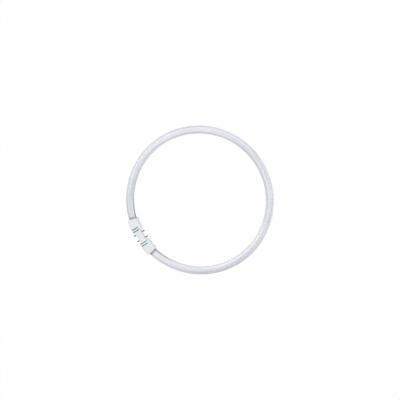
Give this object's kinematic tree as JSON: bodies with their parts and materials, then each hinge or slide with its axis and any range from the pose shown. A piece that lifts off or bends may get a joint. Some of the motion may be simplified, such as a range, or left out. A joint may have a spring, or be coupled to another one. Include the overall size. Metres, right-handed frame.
{
  "type": "circular fluorescent tube",
  "caption": "Slim ring-shaped fluorescent tube whose two ends meet in a narrow-waisted plastic cap with radial contact pins.",
  "frame": {"origin": "centre of the ring, in the mid-plane of the tube", "axes": "+Z is the ring's axis, upwards as it lies; -Y points from the centre to the cap; +X runs along the cap"},
  "size_m": [0.3004, 0.3042, 0.02],
  "materials": {
    "coated_glass": "clear glass over a white phosphor coat",
    "cap_plastic": "moulded, satin",
    "cement": "matt setting compound",
    "pin_metal": "nickel plated",
    "lead_metal": "drawn nickel wire"
  },
  "bodies": {
    "root": {"glass_tube": "coated_glass", "cap_upper_shell": "cap_plastic", "cap_lower_shell": "cap_plastic", "cement_ring_left": "cement", "cement_ring_right": "cement", "contact_pin_inner_left": "pin_metal", "contact_pin_inner_right": "pin_metal", "contact_pin_outer_left": "pin_metal", "contact_pin_outer_right": "pin_metal", "lead_wire_inner_left": "lead_metal", "lead_wire_inner_right": "lead_metal", "lead_wire_outer_left": "lead_metal", "lead_wire_outer_right": "lead_metal"}
  },
  "joints": []
}
